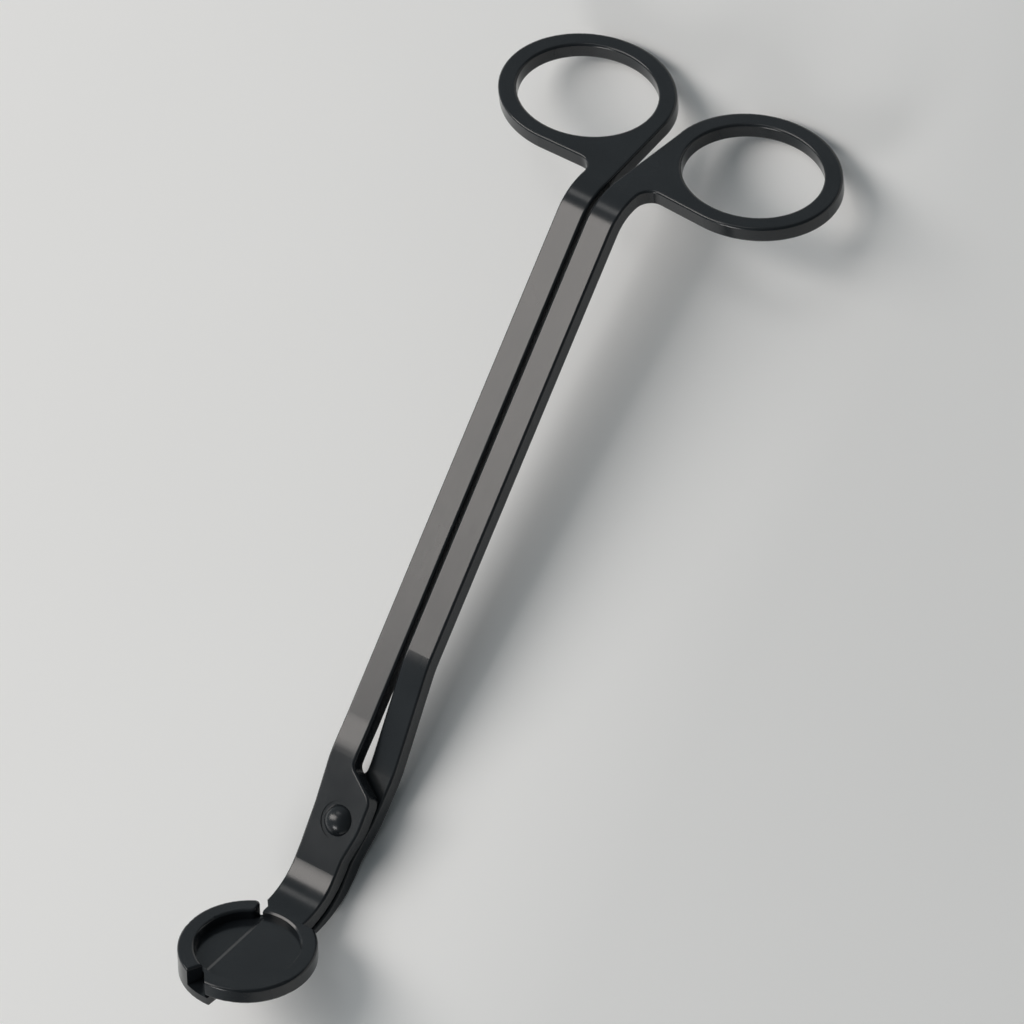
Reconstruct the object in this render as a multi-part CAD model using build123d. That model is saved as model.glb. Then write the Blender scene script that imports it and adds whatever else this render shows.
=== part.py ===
from build123d import *
from math import atan2, asin, cos, degrees, hypot, radians, sin, tan
import os

# Wick trimmer: two crossed steel arms on one pivot, each with a finger ring at one end and half of
# a round, shallow dish at the other. The arms are flat bar bent in side view into a "Z": the dish and
# the rings lie nearly level and a long straight shank climbs between them.
#
# Head frame, millimetres: origin at the dish's centre on the rim's top, +X across the tool,
# +Y towards the rings, +Z out of the dish. The finished parts are then turned about X and moved,
# so that the tool lies on a table on its heel and its two rings.

# Side view
BAR = 3.1                   # thickness of the arms
SHANK_ANGLE = 50.9          # shanks above the dish's plane
PLATE_ANGLE = 53.6          # pivot plates above the dish's plane
PLATE_DROP = 1.1            # top of the upper plate under the heel corner
RING_ANGLE = 5.6            # finger rings above the dish's plane
HEEL_Y = 13.65              # dish centre to the corner where the arms leave the rim's level
SHANK_LENGTH = 130.9        # from that corner to the ring bend
RING_BEND_R = 10.0          # on the outside of the ring bend
UPPER_STEP = (27.6, 33.0)   # along the arm: the upper arm steps over the lower one
LOWER_STEP = (27.0, 46.0)   # along the arm: the lower arm slopes down under the upper one
UPPER_STEP_R = 28.0
STEP_LEAD = 1.5             # flat plate before either step
LOWER_STEP_R = 20.0
PLATE_GAP = 0.36            # between the two pivot plates
UPPER_HEEL_R = (11.8, 16.5) # heel bend, top and underside
LOWER_HEEL_R = (14.0, 16.9)

# Outline
SHANK_WIDTH = 5.33
SHANK_GAP = 0.8             # between the two shanks
SHANK_SHIFT = -0.2          # middle of that gap from the dish's centre line
PLATE_OUTER = (5.25, 5.2)   # upper and lower pivot plate's edge on its own shank's side
PLATE_INNER = 5.2           # pivot plate's rounded shoulder on the other side
SHOULDER_R = 2.8
NECK_START = 8.6            # along the arm: the pivot plate ends and the neck begins
NECK = (-5.0, 4.1)          # left and right edges of both necks
ROUNDING = 0.45             # along the arms' long edges

# Finger rings
RING_X = 18.15              # ring centre from the centre line
RING_REACH = 20.7           # ring centre beyond the ring bend
RING_START = 4.3            # beyond the ring bend: the shank ends and the flat ring begins
RING_HOLE = (13.1, 10.75)
RING_OUTER = (16.45, 13.6)
RING_FILLET = 2.8

# Dish
DISH_R = 12.0
RECESS_R = 9.07
UPPER_DEPTH = 3.0           # upper half, rim to underside
LOWER_DEPTH = 5.1           # lower half, rim to underside
RECESS_DEPTH = 1.2
RECESS_BEVEL = 0.3          # at the recess's top edge in the upper half
LIP = 0.45                  # thickness of the upper floor where it laps over the lower one
LAP_GAP = 0.35              # between that lip and the lower floor
LAP_X = 1.35                # the upper floor is thinned up to here
LAP_Y = (-8.9, 9.5)
RAISED_R = 8.8              # the lower floor is raised under the lip inside this radius
LEDGE = 3.4                 # depth of the rest of the lower floor
NECK_DEPTH = 4.6            # underside of the lower neck at the dish
UPPER_EDGE = [(-3.75, 9.9), (-2.4, -8.7)]   # cutting edge of the upper half, neck to tip
UPPER_TIP = (0.9, -12.4)    # outer end of the upper half's rim
EDGE_BEVEL = (0.6, 0.16)    # ground along that cutting edge, width and depth
BEVEL_R = 8.6               # and it stops this far from the dish's centre
LOWER_EDGE_X = 1.0          # cutting edge of the lower half
OPEN_X = -3.3               # left of here nothing lies over the lower floor
RIM_END_R = 0.9
LOWER_RIM = [(-5.8, 11.4), (-4.8, 7.4), (-2.75, -8.6), (-4.2, -11.8)]   # where its rim stops
POCKET_Y = 12.2             # the lower arm is stepped down under the upper dish up to here
DISH_TOP_ROUND = 0.5
DISH_UNDER_ROUND = 0.4

# Pivot
PIVOT_X = 0.45
PIVOT_REACH = 15.7          # along the arm from the heel corner
RIVET_R = 1.6
HEAD_R = 2.75
HEAD_H = 1.7
TAIL_R = 2.4
TAIL_H = 0.9
SPOTFACE_R = 3.4
SPOTFACE_DEPTH = 0.15
WASHER_R = 4.0
RUNNING = 0.05              # clearance where one piece turns on another

FAR = 40.0


def along(angle):
    """Unit vector in the side view, climbing towards the rings."""
    return Vector(0, cos(radians(angle)), sin(radians(angle)))


def square_to(angle):
    return Vector(0, -sin(radians(angle)), cos(radians(angle)))


HEEL = Vector(0, HEEL_Y, 0)
LEVEL = Plane.XY
PLATE = Plane(origin=HEEL - square_to(PLATE_ANGLE) * PLATE_DROP, x_dir=(1, 0, 0),
              z_dir=square_to(PLATE_ANGLE))
SHANK = Plane(origin=HEEL, x_dir=(1, 0, 0), z_dir=square_to(SHANK_ANGLE))
RING = Plane(origin=HEEL + along(SHANK_ANGLE) * SHANK_LENGTH, x_dir=(1, 0, 0), z_dir=square_to(RING_ANGLE))
PIVOT = Plane(origin=PLATE.from_local_coords(Vector(PIVOT_X, PIVOT_REACH, 0)), x_dir=(1, 0, 0),
              z_dir=square_to(PLATE_ANGLE))


def side_point(plane, distance, height):
    """(Y, Z) of a point at a distance along a plane and a height over it."""
    point = plane.from_local_coords(Vector(0, distance, height))
    return (point.Y, point.Z)


def meeting(plane, height, other, other_height):
    """Distance along a plane at which a line over it meets a line over another plane."""
    start = plane.from_local_coords(Vector(0, 0, height))
    over = (start - other.origin).dot(other.z_dir) - other_height
    return -over / plane.y_dir.dot(other.z_dir)


def bent_bar(top, underside, left, right):
    """A bar between two side-view lines, with its four long edges rounded."""
    ends = [Line(top @ 0, underside @ 0), Line(top @ 1, underside @ 1)]
    face = Plane.YZ * make_face([top, underside] + ends)
    bar = Pos(left, 0, 0) * extrude(face, amount=right - left)
    lengthwise = [edge for edge in bar.edges()
                  if not edges_across(edge) and min(end_distance(edge, end) for end in ends) > 1e-3]
    return fillet(lengthwise, ROUNDING)


def edges_across(edge):
    """True for an edge that runs along X."""
    return abs(abs((edge % 0.5).X) - 1) < 1e-6


def end_distance(edge, end):
    """How far an edge's middle is from the middle of an end line, in the side view."""
    middle = edge @ 0.5
    mark = end @ 0.5
    return hypot(middle.Y - mark.X, middle.Z - mark.Y)


def shank(side, plate_height, step, step_r):
    """Straight shank with its ring bend and its step to the pivot plate."""
    inner = SHANK_SHIFT + side * SHANK_GAP / 2
    outer = inner + side * SHANK_WIDTH
    lines = []
    for drop, bend_r in ((0, RING_BEND_R), (-BAR, RING_BEND_R - BAR)):
        corners = [
            side_point(PLATE, step[0] - STEP_LEAD, plate_height + drop),
            side_point(PLATE, step[0], plate_height + drop),
            side_point(SHANK, step[1], drop),
            side_point(SHANK, meeting(SHANK, drop, RING, drop), drop),
            side_point(RING, RING_START, drop),
        ]
        lines.append(FilletPolyline(*corners, radius=[step_r, step_r, bend_r]))
    return bent_bar(*lines, min(inner, outer), max(inner, outer))


def neck(plate_height, depth, heights, radii):
    """Bent neck from the pivot plate down to the dish. heights are its top and underside there."""
    lines = []
    for drop, level, radius in zip((0, -BAR), heights, radii):
        height = plate_height + drop
        corners = [
            (depth, level),
            side_point(PLATE, meeting(PLATE, height, LEVEL, level), height),
            side_point(PLATE, NECK_START, height),
        ]
        lines.append(FilletPolyline(*corners, radius=[radius]))
    return bent_bar(*lines, *NECK)


def shoulder_plate(side):
    """Flat pivot plate between the neck and the step, in the plate plane."""
    inner = SHANK_SHIFT + side * SHANK_GAP / 2
    outer = inner + side * SHANK_WIDTH
    neck_outer, neck_inner = (NECK[1], NECK[0]) if side > 0 else NECK
    top, widest = (UPPER_STEP[0], PLATE_OUTER[0]) if side < 0 else (LOWER_STEP[0], PLATE_OUTER[1])
    top -= STEP_LEAD
    corners = [
        (outer, top),
        (outer, top - 1),
        (side * widest, 17),
        (neck_outer, NECK_START + 1),
        (neck_outer, NECK_START),
        (neck_inner, NECK_START),
        (neck_inner, NECK_START + 1),
        (-side * PLATE_INNER, 15),
        (-side * PLATE_INNER, 21.2),
        (inner, top - 0.85),
        (inner, top),
    ]
    bends = [0, 6, 20, 6, 0, 0, 6, 10, SHOULDER_R, 1.5, 0]
    face = make_face(FilletPolyline(*corners, radius=bends, close=True))
    return plate_with_round_edges(face, lambda y: NECK_START + 1e-3 < y < top - 1e-3)


def plate_with_round_edges(face, is_free):
    """A flat plate, top at zero height, whose edges are rounded where is_free says of their middle."""
    plate = extrude(face, amount=-BAR)
    free = [edge for edge in plate.edges() if abs((edge % 0.5).Z) < 0.5 and is_free((edge @ 0.5).Y)]
    return fillet(free, ROUNDING)


def finger_ring(side):
    """Flat finger ring from the end of the ring bend on, in the ring plane."""
    inner = SHANK_SHIFT + side * SHANK_GAP / 2
    outer = inner + side * SHANK_WIDTH
    root = RING_REACH - RING_OUTER[1]
    corners = [
        (inner, RING_START),
        (inner, RING_START + 0.8),
        (side * (RING_X - RING_OUTER[0]), RING_REACH),
        (side * RING_X, RING_REACH),
        (side * RING_X, root),
        (outer, root + 0.35),
        (outer, RING_START),
    ]
    neck_face = make_face(FilletPolyline(*corners, radius=[0, 10, 0, 0, 0, RING_FILLET, 0], close=True))
    centre = Location((side * RING_X, RING_REACH))
    face = neck_face + centre * Ellipse(*RING_OUTER) - centre * Ellipse(*RING_HOLE)
    return plate_with_round_edges(face, lambda y: y > RING_START + 1e-3)


def outline_prism(points, low, high):
    """Upright prism over a polygon in the dish's plane."""
    return Pos(0, 0, low) * extrude(make_face(Polyline(*points, close=True)), amount=high - low)


def dish_blank(depth):
    """Whole round dish body with its rims rounded, before it is halved and hollowed."""
    blank = Pos(0, 0, -depth) * extrude(Circle(DISH_R), amount=depth)
    blank = fillet(blank.edges().filter_by(GeomType.CIRCLE).group_by(Axis.Z)[-1], DISH_TOP_ROUND)
    return fillet(blank.edges().filter_by(GeomType.CIRCLE).group_by(Axis.Z)[0], DISH_UNDER_ROUND)


def recess():
    """The round recess, opened out at the top so that the rim's inner edge is bevelled."""
    outline = Polyline(
        (0, -RECESS_DEPTH),
        (RECESS_R, -RECESS_DEPTH),
        (RECESS_R, -RECESS_BEVEL),
        (RECESS_R + 2 * RECESS_BEVEL, RECESS_BEVEL),
        (0, RECESS_BEVEL),
        close=True,
    )
    return revolve(Plane.XZ * make_face(outline), Axis.Z)


def edge_bevel():
    """What is ground off the upper half's floor along its cutting edge."""
    start, end = [Vector(*point) for point in UPPER_EDGE]
    across = Plane(origin=start, x_dir=(-(end - start).Y, (end - start).X, 0), z_dir=end - start)
    width, depth = EDGE_BEVEL
    section = [(-width, -2 * depth), (2 * width, depth), (-width, depth)]
    face = across * Pos(0, -RECESS_DEPTH) * make_face(Polyline(*section, close=True))
    return extrude(face, amount=(end - start).length) & extrude(Circle(BEVEL_R), amount=FAR, both=True)


def upper_arm():
    """Left ring and shank, upper plate, and the right half of the dish with its shallow floor."""
    bar = PLATE * shoulder_plate(-1) + shank(-1, 0, UPPER_STEP, UPPER_STEP_R) + RING * finger_ring(-1)
    bar += neck(0, 6.5, (0, -UPPER_DEPTH), UPPER_HEEL_R)
    right_of_edge = UPPER_EDGE + [UPPER_TIP, (FAR, -FAR), (FAR, UPPER_EDGE[0][1])]
    left_of_edge = UPPER_EDGE + [(-FAR, -FAR), (-FAR, POCKET_Y), (NECK[0], UPPER_EDGE[0][1] + 1.3)]
    arm = bar + (dish_blank(UPPER_DEPTH) & outline_prism(right_of_edge, -FAR, FAR))
    arm -= outline_prism(left_of_edge, -FAR, FAR / 8)
    arm -= recess()
    arm -= edge_bevel()
    left, (near, far) = LAP_X - 7, LAP_Y
    lap = [(left, near), (LAP_X, near), (LAP_X, far), (left, far)]
    arm -= outline_prism(lap, -FAR / 8, -RECESS_DEPTH - LIP)
    arm -= PIVOT * extrude(Circle(RIVET_R), amount=FAR / 4, both=True)
    return arm - PIVOT * Pos(0, 0, -SPOTFACE_DEPTH) * extrude(Circle(SPOTFACE_R), amount=FAR / 8)


def lower_rim():
    """Rim of the lower half, with a rounded end beside the neck."""
    outline = Circle(DISH_R) - Circle(RECESS_R)
    outline &= make_face(Polyline(*LOWER_RIM, (-FAR, -FAR), (-FAR, FAR), close=True))
    outline = fillet(outline.vertices().group_by(Axis.Y)[-1] + outline.vertices().group_by(Axis.Y)[-2], RIM_END_R)
    rim = Pos(0, 0, -LEDGE) * extrude(outline, amount=LEDGE)
    return fillet(rim.edges().group_by(Axis.Z)[-1], DISH_TOP_ROUND)


def lower_floor():
    """Floor of the lower half, raised inside the recess so that the upper half's lip just clears it."""
    ledge = [(LOWER_EDGE_X, -FAR), (LOWER_EDGE_X, FAR), (-FAR, FAR), (-FAR, -FAR)]
    floor = dish_blank(LOWER_DEPTH) & outline_prism(ledge, -FAR, -LEDGE)
    top = -RECESS_DEPTH - LIP - LAP_GAP
    raised = Circle(RAISED_R) + (Circle(RECESS_R + 0.5) & Pos(OPEN_X - FAR / 2, 0) * Rectangle(FAR, FAR))
    raised &= Pos(LOWER_EDGE_X - FAR / 2, 0) * Rectangle(FAR, FAR)
    return floor + Pos(0, 0, -LEDGE) * extrude(raised, amount=top + LEDGE)


def lower_arm():
    """Right ring and shank, lower plate, and the left half of the dish with its deep floor."""
    lower_plate = PLATE * Pos(0, 0, -BAR - PLATE_GAP)
    bar = neck(-BAR - PLATE_GAP, 7.5, (-LEDGE, -NECK_DEPTH), LOWER_HEEL_R)
    bar -= outline_prism([(-FAR, -FAR), (FAR, -FAR), (FAR, POCKET_Y), (-FAR, POCKET_Y)], -LEDGE, FAR / 8)
    bar += lower_plate * shoulder_plate(1) + shank(1, -BAR - PLATE_GAP, LOWER_STEP, LOWER_STEP_R)
    bar += RING * finger_ring(1)
    arm = bar + lower_floor() + lower_rim()
    return arm - PIVOT * extrude(Circle(RIVET_R + RUNNING), amount=FAR / 4, both=True)


def pivot_rivet():
    """Rivet with a domed head in the upper arm's spotface and a flat formed tail below."""
    stack = 2 * BAR + PLATE_GAP + RUNNING
    dome_r = (HEAD_R ** 2 + HEAD_H ** 2) / (2 * HEAD_H)
    head = Pos(0, 0, HEAD_H - dome_r) * Sphere(dome_r)
    head &= extrude(Circle(HEAD_R), amount=FAR)
    tail = Pos(0, 0, -stack - TAIL_H) * extrude(Circle(TAIL_R), amount=TAIL_H)
    tail = chamfer(tail.edges().group_by(Axis.Z)[0], TAIL_H / 3)
    body = Pos(0, 0, -stack) * extrude(Circle(RIVET_R), amount=stack)
    return PIVOT * (Pos(0, 0, -SPOTFACE_DEPTH) * head + body + tail)


def pivot_washer():
    """Thin washer that keeps the two arms apart."""
    ring = extrude(Circle(WASHER_R) - Circle(RIVET_R + RUNNING), amount=PLATE_GAP - RUNNING)
    return PIVOT * Pos(0, 0, -BAR - PLATE_GAP + RUNNING) * ring


def resting_tilt():
    """Angle from the dish's plane to a table that touches the lower heel and the rings' far ends."""
    heel_r = LOWER_HEEL_R[1]
    height = -2 * BAR - PLATE_GAP
    corner = side_point(PLATE, meeting(PLATE, height, LEVEL, -NECK_DEPTH), height)
    centre = (corner[0] - heel_r * tan(radians(PLATE_ANGLE / 2)), heel_r - NECK_DEPTH)
    end = side_point(RING, RING_REACH + RING_OUTER[1] - ROUNDING, ROUNDING - BAR)
    reach = hypot(end[0] - centre[0], end[1] - centre[1])
    return degrees(atan2(end[1] - centre[1], end[0] - centre[0]) + asin((heel_r - ROUNDING) / reach))


def lying_on_the_table(pieces):
    """The pieces turned to rest on the table, which is z = 0, with the middle at x = y = 0."""
    turned = [Rot(-resting_tilt(), 0, 0) * piece for piece in pieces]
    box = Compound(turned).bounding_box()
    return [Pos(-box.center().X, -box.center().Y, -box.min.Z) * piece for piece in turned]


upper, lower, rivet, washer = lying_on_the_table([upper_arm(), lower_arm(), pivot_rivet(), pivot_washer()])
os.makedirs("parts", exist_ok=True)
export_step(upper, "parts/upper_arm.step")
export_step(lower, "parts/lower_arm.step")
export_step(rivet, "parts/pivot_rivet.step")
export_step(washer, "parts/pivot_washer.step")
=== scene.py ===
"""Wick trimmer lying on a pale table: satin black coating on the steel arms and rivet, bare steel washer."""

import math

import bpy
from mathutils import Matrix, Vector


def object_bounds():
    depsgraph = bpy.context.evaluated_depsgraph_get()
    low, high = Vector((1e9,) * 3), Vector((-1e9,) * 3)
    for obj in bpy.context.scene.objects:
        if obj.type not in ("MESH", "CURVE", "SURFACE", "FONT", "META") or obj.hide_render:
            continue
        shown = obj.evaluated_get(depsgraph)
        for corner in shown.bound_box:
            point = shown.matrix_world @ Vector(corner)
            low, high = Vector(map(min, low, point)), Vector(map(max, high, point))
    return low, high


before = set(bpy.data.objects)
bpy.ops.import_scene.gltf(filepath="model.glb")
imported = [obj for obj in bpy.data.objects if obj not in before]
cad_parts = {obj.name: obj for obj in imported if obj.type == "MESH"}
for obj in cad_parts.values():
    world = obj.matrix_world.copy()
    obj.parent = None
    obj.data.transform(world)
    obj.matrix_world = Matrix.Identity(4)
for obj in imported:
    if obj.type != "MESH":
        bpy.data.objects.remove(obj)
cad_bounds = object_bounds()

MM = 0.001

# Camera: azimuth from -Y towards +X, elevation and roll in degrees; AIM is counted from the box's middle
AZIMUTH = 91.007
ELEVATION = 59.708
ROLL = -64.408
DISTANCE = 3.4009
AIM = Vector((6.08, 8.63, -0.60)) * MM
LENS_MM = 703.1
SENSOR_MM = 36.0
CLIP_END = 20.0

# Table: level as far as SLOPE_START in X, and falling at SLOPE from SLOPE_END on
TABLE_REACH = 6.0
SLOPE = 0.12
SLOPE_START = 22 * MM
SLOPE_END = 52 * MM
SLOPE_STRIPS = 12
FINE_REACH = 0.2
ROW_PITCH = 0.04
ROWS_EACH_WAY = 8

# Finish: the coating's darkest and lightest black, and the range that noise mostly stays in
DARK = (0.0115, 0.0138, 0.0162)
LIGHT = (0.0168, 0.0195, 0.0225)
NOISE_RANGE = (0.3, 0.7)

# Light: colours, the X of the direction in which the room turns from bright to dim, and what "side" faces
WARM_WHITE = (1.0, 0.945, 0.90)
PLAIN_WHITE = (1.0, 0.98, 0.96)
COOL_WHITE = (0.85, 0.95, 1.0)
ROOM_TURN = (-0.3, 0.5)
SIDE_AIM = (-0.36, -0.05, 0)


# ---------------------------------------------------------------- node helpers
class Nodes:
    """A node tree with a short way to add and join nodes."""

    def __init__(self, tree):
        self.tree = tree
        tree.nodes.clear()

    def add(self, kind):
        return self.tree.nodes.new(kind)

    def join(self, start, end):
        self.tree.links.new(start, end)

    def noise(self, vector, scale, detail):
        node = self.add("ShaderNodeTexNoise")
        node.inputs["Scale"].default_value = scale
        node.inputs["Detail"].default_value = detail
        self.join(vector, node.inputs["Vector"])
        return node.outputs["Fac"]

    def placed(self, vector, factors=(1, 1, 1), shift=(0, 0, 0)):
        """The coordinates shifted, and multiplied along each axis so that noise draws out into grain."""
        node = self.add("ShaderNodeMapping")
        node.inputs["Scale"].default_value = factors
        node.inputs["Location"].default_value = shift
        self.join(vector, node.inputs["Vector"])
        return node.outputs["Vector"]

    def remap(self, value, source, target):
        node = self.add("ShaderNodeMapRange")
        node.inputs["From Min"].default_value, node.inputs["From Max"].default_value = source
        node.inputs["To Min"].default_value, node.inputs["To Max"].default_value = target
        self.join(value, node.inputs["Value"])
        return node.outputs["Result"]

    def total(self, first, second):
        node = self.add("ShaderNodeMath")
        node.operation = "ADD"
        self.join(first, node.inputs[0])
        self.join(second, node.inputs[1])
        return node.outputs[0]

    def ramp(self, value, source, colours):
        """From the first colour to the second as the value crosses the source range."""
        node = self.add("ShaderNodeValToRGB")
        for point, position, colour in zip(node.color_ramp.elements, source, colours):
            point.position = position
            point.color = (*colour, 1.0)
        self.join(value, node.inputs["Fac"])
        return node.outputs["Color"]

    def bump(self, height, strength, distance, normal=None):
        node = self.add("ShaderNodeBump")
        node.inputs["Strength"].default_value = strength
        node.inputs["Distance"].default_value = distance
        self.join(height, node.inputs["Height"])
        if normal is not None:
            self.join(normal, node.inputs["Normal"])
        return node.outputs["Normal"]


def new_material(name):
    material = bpy.data.materials.new(name)
    material.use_nodes = True
    nodes = Nodes(material.node_tree)
    shader = nodes.add("ShaderNodeBsdfPrincipled")
    output = nodes.add("ShaderNodeOutputMaterial")
    nodes.join(shader.outputs["BSDF"], output.inputs["Surface"])
    place = nodes.add("ShaderNodeTexCoord").outputs["Object"]
    return material, nodes, shader, place


# ---------------------------------------------------------------- materials
def black_coating(name, roughness, shift):
    """Baked-on satin black over ground steel: fine orange peel, lengthwise grinding marks, soft smudges."""
    material, nodes, shader, place = new_material(name)
    shader.inputs["IOR"].default_value = 1.5
    shifted = nodes.placed(place, shift=shift)
    lengthwise = nodes.placed(place, factors=(2600, 55, 2600), shift=shift)

    smudges = nodes.noise(shifted, scale=90.0, detail=3.0)
    grain = nodes.noise(lengthwise, scale=1.0, detail=2.0)
    peel = nodes.noise(shifted, scale=2600.0, detail=2.0)
    speck = nodes.noise(shifted, scale=5200.0, detail=1.0)

    nodes.join(nodes.ramp(smudges, NOISE_RANGE, (DARK, LIGHT)), shader.inputs["Base Color"])
    smudged = nodes.remap(smudges, NOISE_RANGE, (roughness - 0.02, roughness + 0.02))
    ground = nodes.remap(grain, NOISE_RANGE, (-0.01, 0.02))
    nodes.join(nodes.total(smudged, ground), shader.inputs["Roughness"])

    normal = nodes.bump(peel, strength=0.35, distance=0.006 * MM)
    normal = nodes.bump(grain, strength=0.30, distance=0.005 * MM, normal=normal)
    normal = nodes.bump(speck, strength=0.20, distance=0.002 * MM, normal=normal)
    nodes.join(normal, shader.inputs["Normal"])
    return material


def rolled_steel(name):
    """Bare washer stock: cool grey with fine rolling lines and a few darker oxide clouds."""
    material, nodes, shader, place = new_material(name)
    shader.inputs["Metallic"].default_value = 1.0
    clouds = nodes.noise(place, scale=700.0, detail=3.0)
    lines = nodes.noise(nodes.placed(place, factors=(90, 5200, 5200)), scale=1.0, detail=2.0)
    colour = nodes.ramp(clouds, (0.35, 0.65), ((0.30, 0.29, 0.28), (0.46, 0.455, 0.45)))
    nodes.join(colour, shader.inputs["Base Color"])
    nodes.join(nodes.remap(lines, NOISE_RANGE, (0.30, 0.46)), shader.inputs["Roughness"])
    nodes.join(nodes.bump(lines, strength=0.3, distance=0.004 * MM), shader.inputs["Normal"])
    return material


def pale_paint(name):
    """The table: matt off-white with a barely uneven tone."""
    material, nodes, shader, place = new_material(name)
    shader.inputs["Roughness"].default_value = 0.75
    shader.inputs["IOR"].default_value = 1.3
    tone = nodes.noise(place, scale=6.0, detail=3.0)
    colour = nodes.ramp(tone, NOISE_RANGE, ((0.90, 0.90, 0.895), (0.93, 0.93, 0.925)))
    nodes.join(colour, shader.inputs["Base Color"])
    return material


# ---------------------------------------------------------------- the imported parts
finishes = {
    "upper_arm": black_coating("coated_upper", roughness=0.18, shift=(0.0, 0.0, 0.0)),
    "lower_arm": black_coating("coated_lower", roughness=0.18, shift=(0.37, 0.11, 0.23)),
    "pivot_rivet": black_coating("coated_rivet", roughness=0.24, shift=(0.71, 0.53, 0.19)),
    "pivot_washer": rolled_steel("washer_steel"),
}
for node_name, finish in finishes.items():
    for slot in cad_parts[node_name].material_slots:
        slot.material = finish


# ---------------------------------------------------------------- table, light and camera
def table_height(x):
    """Level under the tool, then falling away gently where the opened arm's ring swings out and down."""
    bend = SLOPE_END - SLOPE_START
    into_bend = max(0.0, min(x, SLOPE_END) - SLOPE_START)
    past_bend = max(0.0, x - SLOPE_END)
    return -SLOPE * (into_bend ** 2 / (2 * bend) + past_bend)


def add_table():
    """A sheet of compact faces near the tool, where long thin ones would shade unevenly."""
    bend = SLOPE_END - SLOPE_START
    bend_lines = [SLOPE_START + bend * strip / SLOPE_STRIPS for strip in range(SLOPE_STRIPS + 1)]
    across = [-TABLE_REACH, -FINE_REACH, *bend_lines, FINE_REACH, TABLE_REACH]
    fine_lines = [ROW_PITCH * row for row in range(-ROWS_EACH_WAY, ROWS_EACH_WAY + 1)]
    along = [-TABLE_REACH, *fine_lines, TABLE_REACH]

    corners = [(x, y, table_height(x)) for x in across for y in along]
    rows = len(along)
    starts = [rows * strip + row for strip in range(len(across) - 1) for row in range(rows - 1)]
    faces = [(start, start + rows, start + rows + 1, start + 1) for start in starts]
    mesh = bpy.data.meshes.new("table_top")
    mesh.from_pydata(corners, [], faces)
    mesh.polygons.foreach_set("use_smooth", [True] * len(faces))
    mesh.materials.append(pale_paint("pale_table"))
    table = bpy.data.objects.new("table_top", mesh)
    bpy.context.scene.collection.objects.link(table)


def softbox(name, place, size, radiance, colour, aim=(0, 0, 0)):
    """Rectangular light of a given brightness as seen in a reflection, turned to face a point."""
    lamp = bpy.data.lights.new(name, "AREA")
    lamp.shape = "RECTANGLE"
    lamp.size, lamp.size_y = size
    lamp.energy = radiance * math.pi * size[0] * size[1]
    lamp.color = colour
    light = bpy.data.objects.new(name, lamp)
    light.location = place
    light.rotation_mode = "QUATERNION"
    light.rotation_quaternion = (Vector(aim) - Vector(place)).to_track_quat("-Z", "Y")
    bpy.context.scene.collection.objects.link(light)


def room(dim, bright):
    """Pale surroundings, dimmer on the +X side, where no lamp stands."""
    world = bpy.data.worlds.new("studio")
    world.use_nodes = True
    nodes = Nodes(world.node_tree)
    background = nodes.add("ShaderNodeBackground")
    background.inputs["Color"].default_value = (*COOL_WHITE, 1.0)
    direction = nodes.add("ShaderNodeSeparateXYZ")
    nodes.join(nodes.add("ShaderNodeTexCoord").outputs["Generated"], direction.inputs["Vector"])
    strength = nodes.remap(direction.outputs["X"], ROOM_TURN, (bright, dim))
    nodes.join(strength, background.inputs["Strength"])
    nodes.join(background.outputs["Background"], nodes.add("ShaderNodeOutputWorld").inputs["Surface"])
    bpy.context.scene.world = world


def add_camera():
    azimuth, elevation, roll = (math.radians(angle) for angle in (AZIMUTH, ELEVATION, ROLL))
    flat = math.cos(elevation)
    back = Vector((math.sin(azimuth) * flat, -math.cos(azimuth) * flat, math.sin(elevation)))
    level = Vector((math.cos(azimuth), math.sin(azimuth), 0))
    right = level * math.cos(roll) + back.cross(level) * math.sin(roll)
    axes = Matrix((right, back.cross(right), back)).transposed()
    lowest, highest = cad_bounds
    place = (lowest + highest) / 2 + AIM + back * DISTANCE
    lens = bpy.data.cameras.new("camera")
    lens.lens = LENS_MM
    lens.sensor_width = SENSOR_MM
    lens.clip_end = CLIP_END
    camera = bpy.data.objects.new("camera", lens)
    camera.matrix_world = Matrix.Translation(place) @ axes.to_4x4()
    bpy.context.scene.collection.objects.link(camera)
    bpy.context.scene.camera = camera


add_table()
room(dim=0.10, bright=0.34)
softbox("key", (-0.72, -0.118, 0.95), size=(0.47, 1.05), radiance=4.8, colour=WARM_WHITE)
softbox("side", (-0.36, 0.50, 0.85), size=(0.55, 0.16), radiance=1.9, colour=PLAIN_WHITE, aim=SIDE_AIM)
softbox("low", (-0.08, -1.00, 0.52), size=(0.36, 0.30), radiance=8.0, colour=PLAIN_WHITE)
add_camera()
bpy.context.scene.view_settings.view_transform = "Standard"
